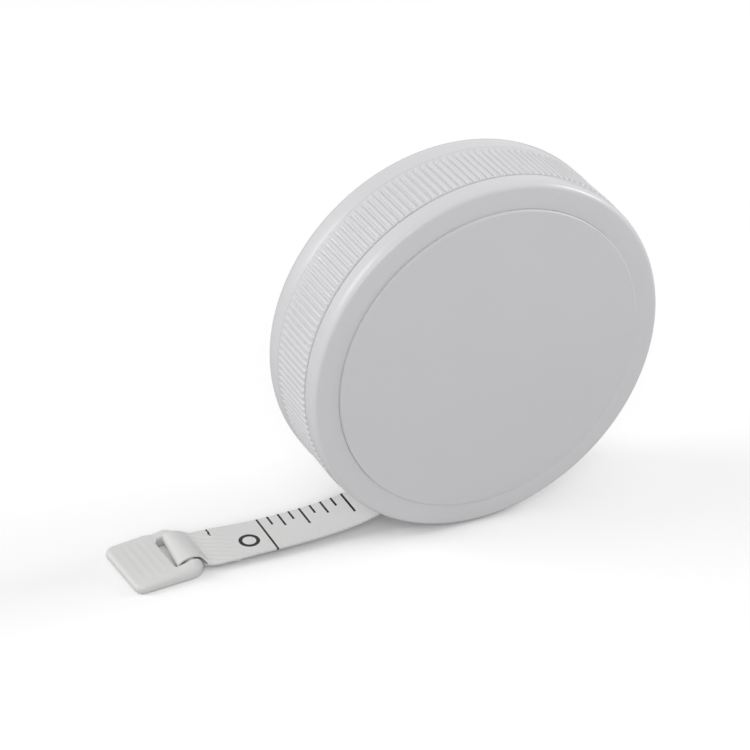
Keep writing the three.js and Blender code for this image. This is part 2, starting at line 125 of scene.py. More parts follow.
def turnedMesh(profile, steps, closed=True):
    # profile points are (radius, depth); a radius of 0 is a pole
    points, rings = [], []
    for radius, depth in profile:
        if radius == 0:
            rings.append([len(points)])
            points.append(place(0, 0, depth))
        else:
            rings.append(list(range(len(points), len(points) + steps)))
            points += [place(radius * math.cos(2 * math.pi * k / steps),
                             radius * math.sin(2 * math.pi * k / steps), depth)
                       for k in range(steps)]
    pairs = list(zip(rings, rings[1:]))
    if closed:
        pairs.append((rings[-1], rings[0]))
    faces = []
    for low, high in pairs:
        for k in range(steps):
            n = (k + 1) % steps
            if len(low) == 1 and len(high) == 1:
                break
            if len(low) == 1:
                faces.append((low[0], high[n], high[k]))
            elif len(high) == 1:
                faces.append((low[k], low[n], high[0]))
            else:
                faces.append((low[k], low[n], high[n], high[k]))
    return meshFrom(points, faces)


def cutWith(piece, mesh, operation="DIFFERENCE"):
    cutter = bpy.data.objects.new("cutter", mesh)
    bpy.context.scene.collection.objects.link(cutter)
    modifier = piece.modifiers.new("cut", "BOOLEAN")
    modifier.object = cutter
    modifier.operation = operation
    modifier.solver = "EXACT"
    applyModifiers(piece)
    bpy.data.objects.remove(cutter)
    return piece


def joinMeshes(meshes):
    work = bmesh.new()
    for mesh in meshes:
        work.from_mesh(mesh)
    joined = bpy.data.meshes.new("joined")
    work.to_mesh(joined)
    work.free()
    return joined


def ribbonMesh(rows, outer, inner):
    # a sheet round a grid of points, rows along it and columns across, with its thickness in
    # millimetres to the outside and to the inside of them
    high, low = [], []
    last, wide = len(rows) - 1, len(rows[0]) - 1
    for i, row in enumerate(rows):
        for j, point in enumerate(row):
            along = rows[min(i + 1, last)][j] - rows[max(i - 1, 0)][j]
            across = row[min(j + 1, wide)] - row[max(j - 1, 0)]
            normal = across.cross(along).normalized() * mm
            high.append(point + normal * outer)
            low.append(point - normal * inner)
    count = wide + 1
    shift = len(high)
    faces = []
    for i in range(last):
        for j in range(wide):
            a, b = i * count + j, i * count + j + 1
            c, d = b + count, a + count
            faces += [(a, b, c, d), (shift + d, shift + c, shift + b, shift + a)]
        for j, turn in ((0, 1), (wide, -1)):
            a, b = i * count + j, (i + 1) * count + j
            faces.append((a, b, shift + b, shift + a)[::turn])
    for i, turn in ((0, -1), (last, 1)):
        for j in range(wide):
            a, b = i * count + j, i * count + j + 1
            faces.append((a, b, shift + b, shift + a)[::turn])
    return meshFrom(high + low, faces)


def smoothPath(keys, steps):
    # Catmull-Rom through the keys, each a tuple of numbers
    result = []
    for i in range(len(keys) - 1):
        a, b, c, d = (keys[max(i - 1, 0)], keys[i], keys[i + 1], keys[min(i + 2, len(keys) - 1)])
        for k in range(steps):
            t = k / steps
            result.append(tuple(
                0.5 * (2 * q + (r - p) * t + (2 * p - 5 * q + 4 * r - s) * t ** 2
                       + (3 * q - p - 3 * r + s) * t ** 3)
                for p, q, r, s in zip(a, b, c, d)))
    result.append(tuple(keys[-1]))
    return result


# Camera, floor and light

photo = {"lens": 120.0, "sensor": 36.0, "location": (-0.14666531, -0.25406226, 0.17010822),
         "right": (0.89311184, -0.44695111, 0.05085219),
         "up": (0.196889, 0.49004484, 0.84917064),
         "forward": (0.40445762, 0.74839212, -0.5256646)}

cameraData = bpy.data.cameras.new("camera")
cameraData.lens = photo["lens"]
cameraData.sensor_width = photo["sensor"]
cameraData.sensor_fit = "AUTO"
cameraData.clip_start, cameraData.clip_end = 0.01, 20
camera = bpy.data.objects.new("camera", cameraData)
bpy.context.scene.collection.objects.link(camera)
axes = Matrix((photo["right"], photo["up"], [-v for v in photo["forward"]])).transposed()
camera.matrix_world = Matrix.Translation(photo["location"]) @ axes.to_4x4()
bpy.context.scene.camera = camera
bpy.context.scene.view_settings.view_transform = "Standard"

# The paper is paler for the camera alone, by floorExtra, so it is white with soft shadows.
studio = {"floorHeight": -26 * mm, "floorSize": 4.0, "floorColour": "#d2d2d2",
          "floorExtra": "#cdcdcd", "skyLight": 0.47, "skyColour": "#ffffff",
          "lamps": [{"name": "leftSoftbox", "at": (-0.644, 0.273, 0.388), "size": 0.4,
                     "power": 1.68},
                    {"name": "rightSoftbox", "at": (0.722, -0.063, 0.338), "size": 0.3,
                     "power": 2.03},
                    {"name": "frontSoftbox", "at": (-0.328, -0.568, 0.459), "size": 0.45,
                     "power": 1.23}]}

world = bpy.data.worlds.new("studio")
bpy.context.scene.world = world
world.use_nodes = True
tree = world.node_tree
tree.nodes.clear()
rays = addNode(tree, "ShaderNodeLightPath").outputs
seen = addNode(tree, "ShaderNodeMath", {0: rays["Is Camera Ray"], 1: rays["Is Glossy Ray"]},
               operation="MAXIMUM")
seen = addNode(tree, "ShaderNodeMath", {0: seen, 1: rays["Is Transmission Ray"]},
               operation="MAXIMUM")
lit = addNode(tree, "ShaderNodeBackground", {"Color": linear(studio["skyColour"]),
                                             "Strength": studio["skyLight"]})
white = addNode(tree, "ShaderNodeBackground", {"Color": (1, 1, 1, 1), "Strength": 1.0})
sky = addNode(tree, "ShaderNodeMixShader", {0: seen, 1: lit, 2: white})
addNode(tree, "ShaderNodeOutputWorld", {"Surface": sky})

# Background paper of a photo table, matt.
paper, tree, shader = newMaterial("mattePaper", studio["floorColour"], Roughness=0.9)
shader.inputs["Specular IOR Level"].default_value = 0.0
rays = addNode(tree, "ShaderNodeLightPath").outputs
dark = addNode(tree, "ShaderNodeEmission", {"Strength": 0.0})
paler = addNode(tree, "ShaderNodeBsdfDiffuse", {"Color": linear(studio["floorExtra"])})
extra = addNode(tree, "ShaderNodeMixShader", {0: rays["Is Camera Ray"], 1: dark, 2: paler})
both = addNode(tree, "ShaderNodeAddShader", {0: shader, 1: extra})
tree.links.new(both.outputs[0], tree.nodes["Material Output"].inputs["Surface"])
half, height = studio["floorSize"] / 2, studio["floorHeight"]
floor = makeObject("floor", meshFrom([(-half, -half, height), (half, -half, height),
                                      (half, half, height), (-half, half, height)],
                                     [(0, 1, 2, 3)], outward=False), paper)

for lamp in studio["lamps"]:
    light = bpy.data.lights.new(lamp["name"], "AREA")
    light.energy, light.size = lamp["power"], lamp["size"]
    softbox = bpy.data.objects.new(lamp["name"], light)
    bpy.context.scene.collection.objects.link(softbox)
    softbox.location = lamp["at"]
    inward = Vector((0, 0, 0)) - Vector(lamp["at"])
    softbox.rotation_euler = inward.to_track_quat("-Z", "Y").to_euler()
print("studio set")


# Materials

# White ABS, injection moulded in a polished tool: even satin gloss, the faintest orange peel.
def mouldedPlastic(name, colour, roughness, peel):
    material, tree, shader = newMaterial(name, colour, Roughness=roughness, IOR=1.53)
    where = addNode(tree, "ShaderNodeTexCoord").outputs["Object"]
    flow = addNode(tree, "ShaderNodeTexNoise", {"Vector": where, "Scale": 90.0,
                                                "Detail": 2.0})  # flow of the melt, about 11 mm
    tone = addNode(tree, "ShaderNodeMapRange", {"Value": flow, "To Min": 0.985, "To Max": 1.015})
    tint = addNode(tree, "ShaderNodeVectorMath", {0: linear(colour)[:3], "Scale": tone},
                   operation="SCALE")
    tree.links.new(tint.outputs[0], shader.inputs["Base Color"])
    grain = addNode(tree, "ShaderNodeTexNoise", {"Vector": where, "Scale": 2500.0,
                                                 "Detail": 3.0})  # 0.4 mm
    bump = addNode(tree, "ShaderNodeBump", {"Height": grain, "Distance": peel * mm,
                                            "Strength": 0.6})
    tree.links.new(bump.outputs[0], shader.inputs["Normal"])
    return material


caseAbs = mouldedPlastic("whiteAbsSatin", "#e8e8ea", 0.26, 0.005)
buttonAbs = mouldedPlastic("whiteAbsMatt", "#e6e6e9", 0.46, 0.008)  # finer spark-eroded face
tabPolythene = mouldedPlastic("whitePolythene", "#ebebea", 0.36, 0.008)  # soft, slightly waxy
print("plastics mixed")


# Glass-fibre tape coated in white vinyl, with its scale printed in black. The print lies on
# Object coordinates, so its ticks go on unbroken from the end to the pulled-out stretch.
scale = {"zeroAt": -28.27, "tick": 1.5875, "line": 0.31, "edge": 3.9, "firstMark": -0.3,
         "marks": [(16, 7.4), (8, 4.25), (4, 3.5), (2, 2.55), (1, 1.7)],  # every n ticks, length
         "ringAt": (-31.1, -7.8), "ringReach": (1.2, 1.13), "ringStroke": 0.52,
         "shortAt": -35.6, "shortLength": 1.25, "shortLine": 0.26,
         "ink": "#0e0e10", "vinyl": "#efefee", "thread": 0.45}


def coatedTape(name, printed, weave):
    material, tree, shader = newMaterial(name, scale["vinyl"], Roughness=0.45, IOR=1.42)
    where = addNode(tree, "ShaderNodeTexCoord").outputs["Object"]
    split = addNode(tree, "ShaderNodeSeparateXYZ", {0: where}).outputs
    if printed:
        ticks = addNode(tree, "ShaderNodeMath", {0: split["X"], 1: 1 / (scale["tick"] * mm),
                                                 2: -scale["zeroAt"] / scale["tick"]},
                        operation="MULTIPLY_ADD")  # place along the tape, counted in ticks
        fromEdge = addNode(tree, "ShaderNodeMath", {0: split["Y"], 1: -1 / mm, 2: -scale["edge"]},
                           operation="MULTIPLY_ADD")
        ink = addNode(tree, "ShaderNodeValue")
        ink.outputs[0].default_value = 0.0
        for every, length in scale["marks"]:
            near = addNode(tree, "ShaderNodeMath", {0: ticks, 1: every / 2}, operation="PINGPONG")
            near = addNode(tree, "ShaderNodeMath", {0: near, 1: scale["line"] / 2 / scale["tick"]},
                           operation="LESS_THAN")
            reach = addNode(tree, "ShaderNodeMath", {0: fromEdge, 1: length},
                            operation="LESS_THAN")
            mark = addNode(tree, "ShaderNodeMath", {0: near, 1: reach}, operation="MULTIPLY")
            ink = addNode(tree, "ShaderNodeMath", {0: ink, 1: mark}, operation="MAXIMUM")
        past = addNode(tree, "ShaderNodeMath", {0: ticks, 1: scale["firstMark"]},
                       operation="GREATER_THAN")
        ink = addNode(tree, "ShaderNodeMath", {0: ink, 1: past}, operation="MULTIPLY")
        fromRing = addNode(tree, "ShaderNodeVectorMath",
                           {0: where, 1: (scale["ringAt"][0] * mm, scale["ringAt"][1] * mm, 0)},
                           operation="SUBTRACT")
        wide, deep = scale["ringReach"]
        fromRing = addNode(tree, "ShaderNodeVectorMath",
                           {0: fromRing, 1: (1 / (wide * mm), 1 / (deep * mm), 0)},
                           operation="MULTIPLY")
        fromRing = addNode(tree, "ShaderNodeVectorMath", {0: fromRing}, operation="LENGTH")
        ring = addNode(tree, "ShaderNodeMath", {0: fromRing.outputs["Value"], 1: 1.0,
                                                2: scale["ringStroke"] / 2 / wide},
                       operation="COMPARE")
        ink = addNode(tree, "ShaderNodeMath", {0: ink, 1: ring}, operation="MAXIMUM")
        near = addNode(tree, "ShaderNodeMath", {0: split["X"], 1: scale["shortAt"] * mm,
                                                2: scale["shortLine"] / 2 * mm},
                       operation="COMPARE")
        reach = addNode(tree, "ShaderNodeMath", {0: fromEdge, 1: scale["shortLength"]},
                        operation="LESS_THAN")
        mark = addNode(tree, "ShaderNodeMath", {0: near, 1: reach}, operation="MULTIPLY")
        ink = addNode(tree, "ShaderNodeMath", {0: ink, 1: mark}, operation="MAXIMUM")
        colour = addNode(tree, "ShaderNodeMix", {"Factor": ink, "A": linear(scale["vinyl"]),
                                                 "B": linear(scale["ink"])}, data_type="RGBA")
        tree.links.new(colour.outputs["Result"], shader.inputs["Base Color"])
    threads = addNode(tree, "ShaderNodeVectorMath",
                      {0: where, "Scale": 2 * math.pi / (scale["thread"] * mm)},
                      operation="SCALE")  # the glass threads show through the coating
    threads = addNode(tree, "ShaderNodeVectorMath", {0: threads}, operation="SINE")
    threads = addNode(tree, "ShaderNodeSeparateXYZ", {0: threads}).outputs
    threads = addNode(tree, "ShaderNodeMath", {0: threads["X"], 1: threads["Y"]},
                      operation="MULTIPLY")
    bump = addNode(tree, "ShaderNodeBump", {"Height": threads, "Distance": weave * mm,
                                            "Strength": 0.5})
    tree.links.new(bump.outputs[0], shader.inputs["Normal"])
    return material


printedTape = coatedTape("printedVinylTape", True, 0.004)
plainTape = coatedTape("plainVinylTape", False, 0.003)

acetal = mouldedPlastic("naturalAcetal", "#dcdcd6", 0.45, 0.006)  # waxy, slightly cream

# Spring steel, rolled and blank: a grey shine with fine drawing marks.
steel, tree, shader = newMaterial("springSteel", "#a9abad", Metallic=1.0, Roughness=0.32)
where = addNode(tree, "ShaderNodeTexCoord").outputs["Object"]
drawn = addNode(tree, "ShaderNodeTexNoise", {"Vector": where, "Scale": 1800.0,
                                             "Detail": 4.0})  # 0.5 mm
rough = addNode(tree, "ShaderNodeMapRange", {"Value": drawn, "To Min": 0.22, "To Max": 0.42})
tree.links.new(rough.outputs[0], shader.inputs["Roughness"])

# Nitrile rubber, moulded: matt black with a slightly uneven bloom.
rubber, tree, shader = newMaterial("nitrileRubber", "#1d1d1f", Roughness=0.85, IOR=1.52)
where = addNode(tree, "ShaderNodeTexCoord").outputs["Object"]
bloom = addNode(tree, "ShaderNodeTexNoise", {"Vector": where, "Scale": 700.0})  # 1.4 mm
tone = addNode(tree, "ShaderNodeMix", {"Factor": bloom, "A": linear("#191919"),
                                       "B": linear("#262628")}, data_type="RGBA")
tree.links.new(tone.outputs["Result"], shader.inputs["Base Color"])

for name, material in {"post_clip": steel, "mainspring": steel, "brake_plate": acetal,
                       "brake_ring": rubber, "drum": acetal, "drum_cap": acetal,
                       "spring_lid": acetal}.items():
    for entry in nodes[name].material_slots:
        entry.material = material
print("materials mixed")


# Case

case = {"radius": 26.0, "frontRadius": 25.74, "faceRadius": 21.8, "faceGap": 0.1,
        "proud": 0.4, "edge": 0.35, "rimCorner": 0.65, "rimMiddle": 24.93, "rearMiddle": 25.1,
        "rimCentre": 1.07, "crownStart": 0.5, "crownEnd": 5, "flank": 60, "rimSteps": (8, 8, 12),
        "bore": 24.7, "insideRear": 2.0, "rearEdge": 3.9, "rearFillet": 0.12, "frontEdge": 11.45,
        "frontSeam": 0.1, "frontFillet": 0.4, "thickness": 14.8, "bezelUnder": 13.2,
        "lip": (0.9, 0.18), "lipEnd": 94, "postKept": 5, "postEnd": 14, "overrun": 0.2,
        "steps": 288}

# The button's radius also sets the bore of the bezel.
button = {"radius": 22.1, "edge": 0.2, "gap": 0.02, "front": 14.8, "flangeTop": 12.9,
          "flange": 0.85, "flangeRadius": 22.78, "skirt": 20.9, "plateUnder": 13.7,
          "boss": (4.67, 5.67), "bossEnd": 11.0, "pin": 0.65, "pinEnd": 12.2}

mouth = {"angle": 243.5, "track": 19.925, "groove": 25.4, "half": 0.8, "flared": 1.5,
         "inward": 5, "outward": 2.85, "side": 4.0, "middle": 7.4}
mouthTurn = math.radians(mouth["angle"])
leaveTurn = mouthTurn + math.acos(mouth["track"] / mouth["groove"])
mouthPoint = Vector((math.cos(mouthTurn), math.sin(mouthTurn))) * mouth["groove"]
leavePoint = Vector((math.cos(leaveTurn), math.sin(leaveTurn))) * mouth["track"]
mouthLine = (mouthPoint - leavePoint).normalized()


def mouthCutter():
    side = Vector((-mouthLine.y, mouthLine.x))
    inside = mouthPoint - mouthLine * mouth["inward"]
    outside = mouthPoint + mouthLine * mouth["outward"]
    outline = [inside + side * mouth["half"], inside - side * mouth["half"],
               mouthPoint - side * mouth["half"], outside - side * mouth["flared"],
               outside + side * mouth["flared"], mouthPoint + side * mouth["half"]]
    count = len(outline)
    points = [place(p.x, p.y, mouth["middle"] + end * mouth["side"])
              for end in (-1, 1) for p in outline]
    faces = [tuple(range(count)), tuple(range(2 * count - 1, count - 1, -1))]
    faces += [(i, (i + 1) % count, count + (i + 1) % count, count + i) for i in range(count)]
    return meshFrom(points, faces)


def crownedRim(inner, middle, side):
    # from the flat face out to the side, as (radius, in): a slight crown, a tight corner and
    # a flank that runs out flush with the side
    corner, centre = case["rimCorner"], case["rimCentre"]
    start, end, flank = (math.radians(case[key]) for key in ("crownStart", "crownEnd", "flank"))
    crownSteps, cornerSteps, flankSteps = case["rimSteps"]
    outer = middle + corner * math.sin(end)
    low = centre - corner * math.cos(end)
    points = []
    for i in range(crownSteps + 1):
        share = i / crownSteps
        slope = (math.tan(start) * (1 - share) + math.tan(end) * (1 + share)) / 2
        points.append((inner + (outer - inner) * share,
                       low - slope * (1 - share) * (outer - inner)))
    for i in range(1, cornerSteps + 1):
        turn = end + (flank - end) * i / cornerSteps
        points.append((middle + corner * math.sin(turn), centre - corner * math.cos(turn)))
    reach = (side - points[-1][0]) / (1 - math.sin(flank))
    depth = points[-1][1] + reach * math.cos(flank)
    for i in range(1, flankSteps + 1):
        turn = flank + (math.pi / 2 - flank) * i / flankSteps
        points.append((side - reach * (1 - math.sin(turn)), depth - reach * math.cos(turn)))
    return points


def frontCover():
    bore, front = button["radius"] + button["gap"], case["thickness"]
    side = case["frontRadius"]
    rim = crownedRim(bore + case["lip"][0], case["rimMiddle"], side)
    edge, fillet = case["frontEdge"] + case["frontSeam"], case["frontFillet"]
    mesh = turnedMesh([
        (bore, case["bezelUnder"]),
        *arc((bore + case["lip"][0], front - rim[0][1] - case["lip"][1]), case["lip"],
             180, case["lipEnd"], 16),
        *[(radius, front - depth) for radius, depth in rim],
        *arc((side - fillet, edge + fillet), (fillet, fillet), 0, -90, 5),
        (case["bore"], edge),
        (case["bore"], case["bezelUnder"]),
    ], case["steps"])
    piece = makeObject("frontCover", mesh, caseAbs)
    return cutWith(piece, mouthCutter())


def rearCover():
    face, fillet = case["faceRadius"], case["rearFillet"]
    edge = case["rearEdge"]
    mesh = turnedMesh([
        (0, 0),
        *arc((face - case["edge"], case["edge"]), (case["edge"], case["edge"]), -90, 0, 5),
        (face, case["proud"]),
        *crownedRim(face + case["faceGap"], case["rearMiddle"], case["radius"]),
        *arc((case["radius"] - fillet, edge - fillet), (fillet, fillet), 0, 90, 2),
        (case["bore"], edge),
        (case["bore"], case["insideRear"]),
        (0, case["insideRear"]),
    ], case["steps"], closed=False)
    shell = makeObject("rearCover", mesh, caseAbs)
    cutWith(shell, mouthCutter())
    post = nodes["rear_cover"].data.copy()  # the post stays as the CAD has it
    work = bmesh.new()
    work.from_mesh(post)
    bmesh.ops.remove_doubles(work, verts=work.verts, dist=0.001 * mm)
    work.to_mesh(post)
    work.free()
    post = makeObject("post", post, caseAbs)
    low, reach, high = case["insideRear"] - case["overrun"], case["postKept"], case["postEnd"]
    cutWith(post, turnedMesh([(0, low), (reach, low), (reach, high), (0, high)], 48,
                             closed=False), "INTERSECT")
    shell.data = joinMeshes([shell.data, post.data])
    shell.data.materials.append(caseAbs)
    bpy.data.objects.remove(post)
    return shell


ribs = {"count": 164, "smooth": 31.0, "centre": 0.6, "foot": 25.53, "crest": 25.9,
        "halfBase": 0.39, "sunk": 0.1, "flank": [(0.92, 0.14), (0.68, 0.72), (0.3, 1.0)],
        "rearEnd": [(3.92, 1.14), (4.4, 1.04), (4.8, 1.0)],
        "frontEnd": [(11.05, 1.0), (11.27, 0.8), (11.41, 0.35)], "sharp": 60}
band = {"inner": 23.2, "outer": 24.4, "spigot": 1.5, "frontFoot": 0.5, "frontTop": (25.66, 0.05),
        "rearRunOut": [(25.93, 0), (25.9, 0.1), (25.78, 0.3), (25.62, 0.6)], "rearFoot": 0.9,
        "grownPast": 25, "steps": 328}


def bandRing():
    # the band without its ribs: their foot's level, which runs out at both ends, and their
    # crest's level round the mouth
    low, high, spigot = case["rearEdge"], case["frontEdge"], band["spigot"]
    mesh = turnedMesh([
        (band["inner"], low - spigot), (band["outer"], low - spigot), (band["outer"], low),
        *[(radius, low + up) for radius, up in band["rearRunOut"]],
        (ribs["foot"], low + band["rearFoot"]), (ribs["foot"], high - band["frontFoot"]),
        (band["frontTop"][0], high - band["frontTop"][1]), (band["outer"], high),
        (band["outer"], high + spigot), (band["inner"], high + spigot),
    ], band["steps"])
    reach = math.radians(ribs["smooth"])
    for vertex in mesh.vertices:
        up, across = vertex.co.z / mm, vertex.co.x / mm
        turn = math.atan2(up, across) % (2 * math.pi)
        radius = math.hypot(up, across)
        if radius > band["grownPast"] and abs(turn - mouthTurn) < reach:
            grown = ribs["crest"] / radius
            vertex.co.x *= grown
            vertex.co.z *= grown
    piece = makeObject("bandRing", mesh, caseAbs)
    return cutWith(piece, mouthCutter())


def ribTree():
    # a rib at each step round the band, apart from the smooth stretch at the mouth
    tree = bpy.data.node_groups.new("ribsRoundTheBand", "GeometryNodeTree")
    for name, kind in (("Rib", "Geometry"), ("Count", "Int"), ("Centre", "Float"),
                       ("Mouth angle", "Float"), ("Smooth half angle", "Float"),
                       ("Plastic", "Material")):
        tree.interface.new_socket(name, in_out="INPUT", socket_type="NodeSocket" + kind)
    tree.interface.new_socket("Ribs", in_out="OUTPUT", socket_type="NodeSocketGeometry")
    given = addNode(tree, "NodeGroupInput").outputs
    index = addNode(tree, "GeometryNodeInputIndex")
    step = addNode(tree, "ShaderNodeMath", {0: 2 * math.pi, 1: given["Count"]}, operation="DIVIDE")
    start = addNode(tree, "ShaderNodeMath", {0: index, 1: step}, operation="MULTIPLY")
    middle = addNode(tree, "ShaderNodeMath", {0: index, 1: given["Centre"]}, operation="ADD")
    turn = addNode(tree, "ShaderNodeMath", {0: middle, 1: step}, operation="MULTIPLY")
    upright = addNode(tree, "ShaderNodeMath", {0: math.pi / 2, 1: turn}, operation="SUBTRACT")
    angles = addNode(tree, "ShaderNodeCombineXYZ", {"Y": upright})
    rotation = addNode(tree, "FunctionNodeEulerToRotation", {0: angles})
    away = addNode(tree, "ShaderNodeMath", {0: start, 1: given["Mouth angle"]},
                   operation="SUBTRACT")
    away = addNode(tree, "ShaderNodeMath", {0: away}, operation="ABSOLUTE")
    kept = addNode(tree, "FunctionNodeCompare", {0: away, 1: given["Smooth half angle"]},
                   data_type="FLOAT", operation="GREATER_EQUAL")
    dots = addNode(tree, "GeometryNodePoints", {"Count": given["Count"]})
    bars = addNode(tree, "GeometryNodeInstanceOnPoints",
                   {"Points": dots, "Selection": kept, "Instance": given["Rib"],
                    "Rotation": rotation})
    real = addNode(tree, "GeometryNodeRealizeInstances", {"Geometry": bars})
    done = addNode(tree, "GeometryNodeSetMaterial", {"Geometry": real,
                                                     "Material": given["Plastic"]})
    addNode(tree, "NodeGroupOutput", {"Ribs": done})
    return tree


def setInputs(modifier, values):
    for item in modifier.node_group.interface.items_tree:
        if item.item_type == "SOCKET" and item.in_out == "INPUT" and item.name in values:
            modifier[item.identifier] = values[item.name]


def gripBand():
    half, tall = ribs["halfBase"], ribs["crest"] - ribs["foot"]
    left = [(-half, -ribs["sunk"])] + [(-half * wide, high * tall) for wide, high in ribs["flank"]]
    section = left + [(-across, up) for across, up in reversed(left)]
    rows = [[place(across, ribs["foot"] + up * (size if up > 0 else 1), depth)
             for across, up in section] for depth, size in ribs["rearEnd"] + ribs["frontEnd"]]
    wide = len(section)
    faces = [(i * wide + j, i * wide + (j + 1) % wide, (i + 1) * wide + (j + 1) % wide,
              (i + 1) * wide + j) for i in range(len(rows) - 1) for j in range(wide)]
    last = (len(rows) - 1) * wide
    faces += [tuple(range(wide)), tuple(reversed(range(last, last + wide)))]
    points = [point for row in rows for point in row]
    bar = makeObject("gripBand", meshFrom(points, faces), caseAbs, ribs["sharp"])
    modifier = bar.modifiers.new("ribs", "NODES")
    modifier.node_group = ribTree()
    setInputs(modifier, {"Count": ribs["count"], "Centre": ribs["centre"],
                         "Mouth angle": mouthTurn,
                         "Smooth half angle": math.radians(ribs["smooth"]), "Plastic": caseAbs})
    applyModifiers(bar)
    ring = bandRing()
    bar.data = joinMeshes([bar.data, ring.data])
    bar.data.materials.append(caseAbs)
    bpy.data.objects.remove(ring)
    return bar


for make, node in ((frontCover, "front_cover"), (rearCover, "rear_cover"),
                   (gripBand, "grip_band")):
    piece = make()
    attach(piece, "case")
    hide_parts(node)
print("case made")


# Button

def pushButton():
    face, edge = button["radius"], button["edge"]
    mesh = turnedMesh([
        (0, button["front"]),
        *arc((face - edge, button["front"] - edge), (edge, edge), 90, 0, 7),
        (face, button["flangeTop"]),
        (button["flangeRadius"], button["flangeTop"]),
        (button["flangeRadius"], button["flangeTop"] - button["flange"]),
        (button["skirt"], button["flangeTop"] - button["flange"]),
        (button["skirt"], button["plateUnder"]),
        (button["boss"][1], button["plateUnder"]),
        (button["boss"][1], button["bossEnd"]),
        (button["boss"][0], button["bossEnd"]),
        (button["boss"][0], button["plateUnder"]),
        (button["pin"], button["plateUnder"]),
        (button["pin"], button["pinEnd"]),
        (0, button["pinEnd"]),
    ], case["steps"], closed=False)
    return makeObject("pushButton", mesh, buttonAbs)


piece = pushButton()
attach(piece, "button")
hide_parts("push_button")

coil = {"wire": 0.2, "radius": 1.2, "turns": 8, "low": 3.3, "high": 13.2, "sides": 10,
        "stepsATurn": 28}


def buttonSpring():
    steps, sides = coil["turns"] * coil["stepsATurn"], coil["sides"]
    points = []
    for i in range(steps + 1):
        share = i / steps
        turn = 2 * math.pi * coil["turns"] * share
        out = Vector((math.cos(turn), 0, math.sin(turn)))
        middle = place(coil["radius"] * math.cos(turn), coil["radius"] * math.sin(turn),
                       coil["low"] + (coil["high"] - coil["low"]) * share)
        points += [middle + (out * math.cos(a) + Vector((0, math.sin(a), 0))) * coil["wire"] * mm
                   for a in (2 * math.pi * k / sides for k in range(sides))]
    faces = [(i * sides + k, i * sides + (k + 1) % sides, (i + 1) * sides + (k + 1) % sides,
              (i + 1) * sides + k) for i in range(steps) for k in range(sides)]
    faces += [tuple(range(sides)), tuple(steps * sides + k for k in reversed(range(sides)))]
    return makeObject("buttonSpring", meshFrom(points, faces), steel)


piece = buttonSpring()
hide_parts("button_spring")
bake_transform(piece)
print("button made")


# Tape

tape = {"width": 7.0, "thickness": 0.35, "outer": 0.175, "inner": 0.085, "drumRadius": 14.8,
        "wound": 19.8, "slack": 0.05, "layerHalf": 0.15, "outerGap": 0.02, "stepsATurn": 72,
        "table": -26.0, "middle": 7.4, "flatFrom": -12, "flatOver": 15.765, "insideOver": 11,
        "endWider": 0.07, "endBack": 0.13, "mouthBack": 0.3}


def woundTape():
    # the layers on the drum; the outer one ends where the tape leaves it
    turns = int((tape["wound"] - tape["drumRadius"] - tape["slack"]) / tape["thickness"])
    steps, half = tape["stepsATurn"], tape["layerHalf"]
    rows = []
    for i in range(turns * steps + 1):
        turn = leaveTurn - 2 * math.pi * i / steps + 2 * math.pi
        radius = tape["wound"] - tape["thickness"] * (i / steps + 0.5) - tape["outerGap"]
        rows.append([place(radius * math.cos(turn), radius * math.sin(turn),
                           tape["middle"] + side * tape["width"] / 2) for side in (-1, 1)])
    return makeObject("woundTape", ribbonMesh(rows, half, half), plainTape)


def tapeStrip():
    # from the coil straight to the mouth, then down to the table; across and up of its middle
    keys = [tuple(leavePoint + mouthLine * 0.3), tuple(leavePoint + mouthLine * 6),
            (-8.0, -22.04), (-11.0, -22.78), (-13.3, -23.52), (-15.57, -24.13), (-18.0, -24.52),
            (-21.0, -24.8), (-24.5, -24.95), (-27.765, -24.975)]
    rows = []
    for across, up in smoothPath(keys, 10):
        share = min(1, max(0, (tape["flatFrom"] - across) / tape["flatOver"]))
        inside = min(1, max(0, -across / tape["insideOver"]))
        half = tape["width"] / 2 + tape["endWider"] * share
        back = tape["mouthBack"] * inside * (1 - share) + tape["endBack"] * share
        rows.append([place(across, up, tape["middle"] - back - side * half)
                     for side in (-1, -0.5, 0, 0.5, 1)])
    return makeObject("tapeStrip", ribbonMesh(rows, tape["outer"], tape["inner"]), printedTape)


piece = woundTape()
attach(piece, "reel")
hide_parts("tape_coil")
piece = tapeStrip()
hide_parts("tape_strip")
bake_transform(piece)

# The tape's end: flat to the weld, up over the tab's bar as a strap, and back under itself.
# Keys along it: across and height of its middle, place of its middle from the tape's middle
# plane to the back, half width, turn seen from above, and height of the far edge over the near.
strap = {"steps": 14, "wide": 48, "upperKeys": 8, "sharp": 50}
weld = {"inner": -33.7, "outer": -37.6, "fades": (0.8, 0.6), "ridges": 8, "slant": 2.3,
        "height": 0.15, "sways": [(0.35, 1.9, 0), (0.2, 4.3, 3)]}  # size, pace, lean


